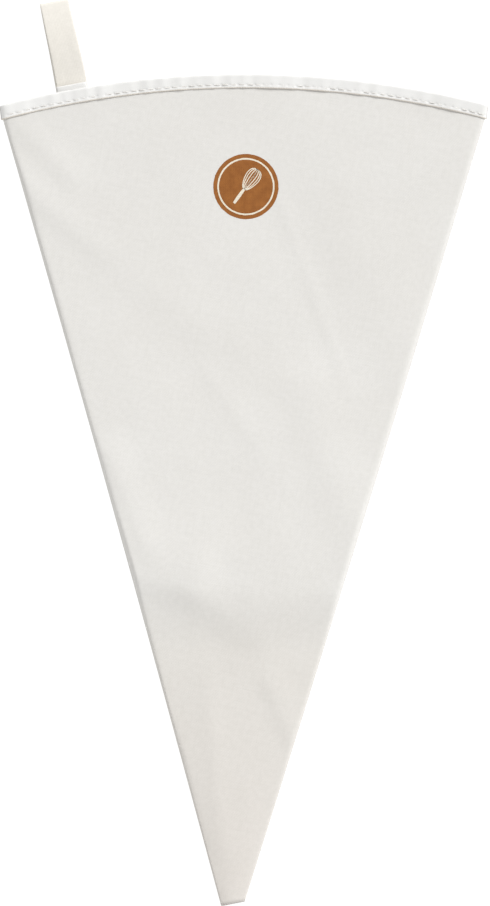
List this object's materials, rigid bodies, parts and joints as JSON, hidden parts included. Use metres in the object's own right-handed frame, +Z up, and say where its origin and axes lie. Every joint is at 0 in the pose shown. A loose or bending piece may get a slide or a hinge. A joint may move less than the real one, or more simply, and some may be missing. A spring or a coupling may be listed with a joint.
{
  "type": "piping bag",
  "caption": "Cone of coated canvas for piping cream or dough, lying flat, with a sewn hem, a cut tip, a hanging loop and a small round badge.",
  "frame": {"origin": "on the table, under the middle of the flat bag and its hanging loop", "axes": "+Y from the cut tip to the mouth, +X across the bag, +Z up through the front wall"},
  "size_m": [0.2414, 0.442, 0.0144],
  "materials": {
    "canvas": "plain-woven cotton canvas",
    "coating": "canvas side with a thin smooth plastic coating",
    "thread": "twisted sewing thread",
    "bond": "clear set adhesive",
    "tape": "cotton twill tape",
    "badge_brown": "printed ink on canvas",
    "badge_pale": "printed ink on canvas"
  },
  "bodies": {
    "back_wall": {"canvas_back": "canvas", "canvas_back_ramp": "canvas", "canvas_back_mouth": "canvas", "coating_back": "coating", "hem_back": "coating", "hem_stitches_back": "thread", "seam_bond": "bond", "seam_lap": "canvas", "loop_ends": "tape", "loop_tack": "thread"},
    "front_wall": {"canvas_front": "canvas", "canvas_front_left": "canvas", "canvas_front_right": "canvas", "coating_front": "coating", "hem_front": "coating", "hem_stitches_front": "thread", "badge_disc": "badge_brown", "badge_ring": "badge_pale"},
    "hanging_loop": {"loop_tape": "tape"}
  },
  "joints": [
    {"name": "mouth_open", "type": "hinge", "parent": "back_wall", "child": "front_wall", "pos_m": [0, -0.22103, 0.0013], "axis": [1, 0, 0], "range_deg": [0, 8]},
    {"name": "loop_swing", "type": "hinge", "parent": "back_wall", "child": "hanging_loop", "pos_m": [-0.08485, 0.17917, 0.0004], "axis": [0.9781, 0.2079, 0], "range_deg": [0, 72]}
  ]
}
